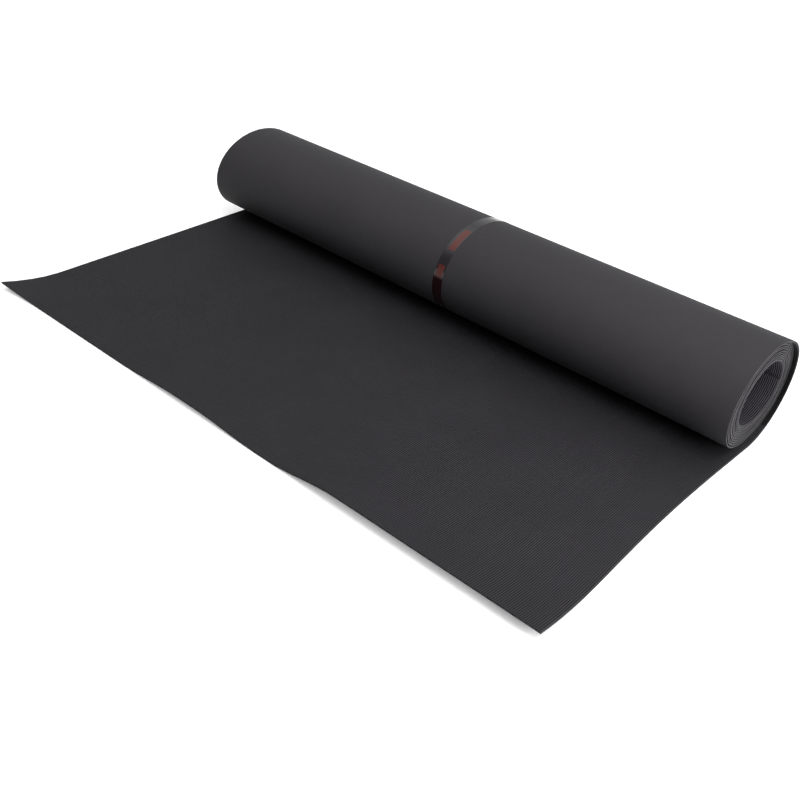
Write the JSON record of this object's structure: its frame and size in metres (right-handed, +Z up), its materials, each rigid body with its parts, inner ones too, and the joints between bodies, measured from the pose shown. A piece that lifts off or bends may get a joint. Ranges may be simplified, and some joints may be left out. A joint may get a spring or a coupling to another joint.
{
  "type": "electrical insulating mat",
  "caption": "Ribbed black rubber insulating floor mat, partly unrolled: a sagging roll with a flat free end and a clear marking strip round it.",
  "frame": {"origin": "the middle of the bottom of the bounding box, on the floor under the free sheet", "axes": "+X along the roll towards its near end in the picture, +Y from the free end of the sheet towards the roll, +Z up"},
  "size_m": [1.018, 0.6186, 0.1627],
  "materials": {
    "mat_rubber": "matte black rubber: fine lengthwise ribs on the upper face, smooth underside, paler cut edges",
    "strip_film": "clear glossy film over black rubber, with two plain red blocks and no text"
  },
  "bodies": {
    "root": {"insulating_mat": "mat_rubber", "marking_strip": "strip_film"}
  },
  "joints": []
}
